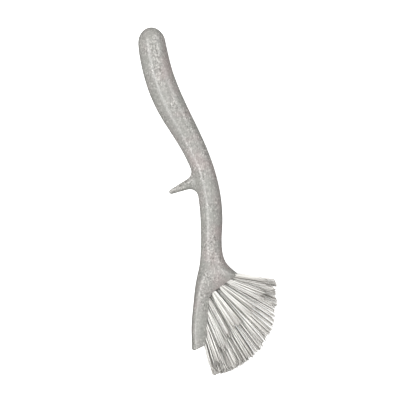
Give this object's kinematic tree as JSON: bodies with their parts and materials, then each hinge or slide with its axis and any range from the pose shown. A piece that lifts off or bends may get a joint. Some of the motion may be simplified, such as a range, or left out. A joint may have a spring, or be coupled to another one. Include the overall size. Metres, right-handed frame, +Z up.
{
  "type": "dish brush",
  "caption": "Dish brush with a curved solid handle, a rim hook on its back and a flared head whose hollow face carries fanned bristle tufts.",
  "frame": {"origin": "middle of the bounding box's footprint, on the surface that the brush lies on", "axes": "+X from the handle's back towards the side that the bristles point to, +Y along the brush from the bristles to the grip's butt, +Z up from the surface, out of the upper flank of the head"},
  "size_m": [0.1006, 0.2514, 0.024],
  "materials": {
    "speckled_plastic": "satin grey composite with fine light and dark flecks",
    "bristle_filament": "off-white filaments",
    "anchor_steel": "flat drawn wire"
  },
  "bodies": {
    "root": {"handle": "speckled_plastic", "bristle_tuft_a1": "bristle_filament", "bristle_tuft_a2": "bristle_filament", "bristle_tuft_a3": "bristle_filament", "bristle_tuft_a4": "bristle_filament", "bristle_tuft_a5": "bristle_filament", "bristle_tuft_a6": "bristle_filament", "bristle_tuft_a7": "bristle_filament", "bristle_tuft_a8": "bristle_filament", "bristle_tuft_b1": "bristle_filament", "bristle_tuft_b2": "bristle_filament", "bristle_tuft_b3": "bristle_filament", "bristle_tuft_b4": "bristle_filament", "bristle_tuft_b5": "bristle_filament", "bristle_tuft_b6": "bristle_filament", "bristle_tuft_b7": "bristle_filament", "bristle_tuft_c1": "bristle_filament", "bristle_tuft_c2": "bristle_filament", "bristle_tuft_c3": "bristle_filament", "bristle_tuft_c4": "bristle_filament", "bristle_tuft_c5": "bristle_filament", "bristle_tuft_c6": "bristle_filament", "bristle_tuft_c7": "bristle_filament", "bristle_tuft_c8": "bristle_filament", "bristle_tuft_d1": "bristle_filament", "bristle_tuft_d2": "bristle_filament", "bristle_tuft_d3": "bristle_filament", "bristle_tuft_d4": "bristle_filament", "bristle_tuft_d5": "bristle_filament", "bristle_tuft_d6": "bristle_filament", "bristle_tuft_d7": "bristle_filament", "bristle_tuft_e1": "bristle_filament", "bristle_tuft_e2": "bristle_filament", "bristle_tuft_e3": "bristle_filament", "bristle_tuft_e4": "bristle_filament", "bristle_tuft_e5": "bristle_filament", "bristle_tuft_e6": "bristle_filament", "bristle_tuft_e7": "bristle_filament", "bristle_tuft_e8": "bristle_filament", "tuft_anchors_a": "anchor_steel", "tuft_anchors_b": "anchor_steel", "tuft_anchors_c": "anchor_steel", "tuft_anchors_d": "anchor_steel", "tuft_anchors_e": "anchor_steel"}
  },
  "joints": []
}
